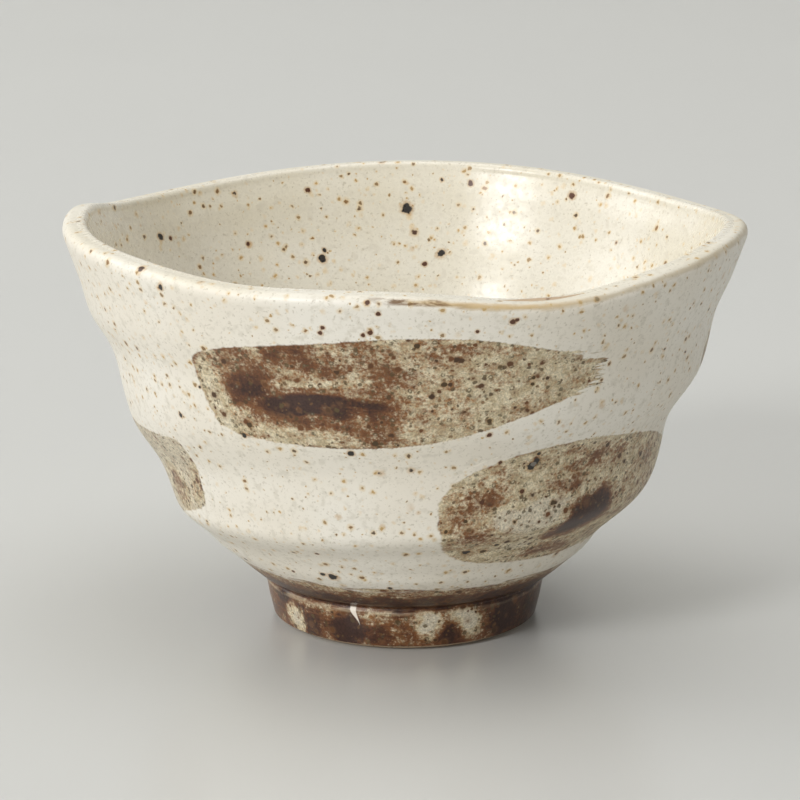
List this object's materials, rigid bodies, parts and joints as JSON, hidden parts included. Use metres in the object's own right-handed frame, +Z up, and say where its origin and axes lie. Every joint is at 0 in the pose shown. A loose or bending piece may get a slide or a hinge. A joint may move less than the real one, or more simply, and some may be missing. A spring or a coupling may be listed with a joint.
{
  "type": "tea bowl",
  "caption": "Hand-thrown stoneware tea bowl on a narrow foot ring, with a waving rim, spiral finger marks, a speckled white glaze, iron brush strokes and an iron-brown foot.",
  "frame": {"origin": "on the turning axis of the bowl, in the plane of the foot ring's resting face", "axes": "+Z up along the turning axis; the side with the large upper brush stroke is the front and faces -Y, so +X is to the right of someone who looks at it"},
  "size_m": [0.121, 0.1214, 0.0741],
  "materials": {
    "clay": "bare fired stoneware, matt and slightly gritty",
    "white_glaze": "semi-gloss warm white glaze with iron specks",
    "iron_stroke": "iron pigment brushed into the white glaze, semi-gloss",
    "foot_iron_glaze": "glossy iron-brown glaze with pale patches"
  },
  "bodies": {
    "root": {"bowl_wall": "clay", "foot_ring": "clay", "inside_glaze": "white_glaze", "outside_glaze": "white_glaze", "foot_glaze": "foot_iron_glaze", "foot_well_glaze": "foot_iron_glaze", "front_stroke": "iron_stroke", "right_stroke": "iron_stroke", "left_stroke": "iron_stroke", "back_stroke": "iron_stroke"}
  },
  "joints": []
}
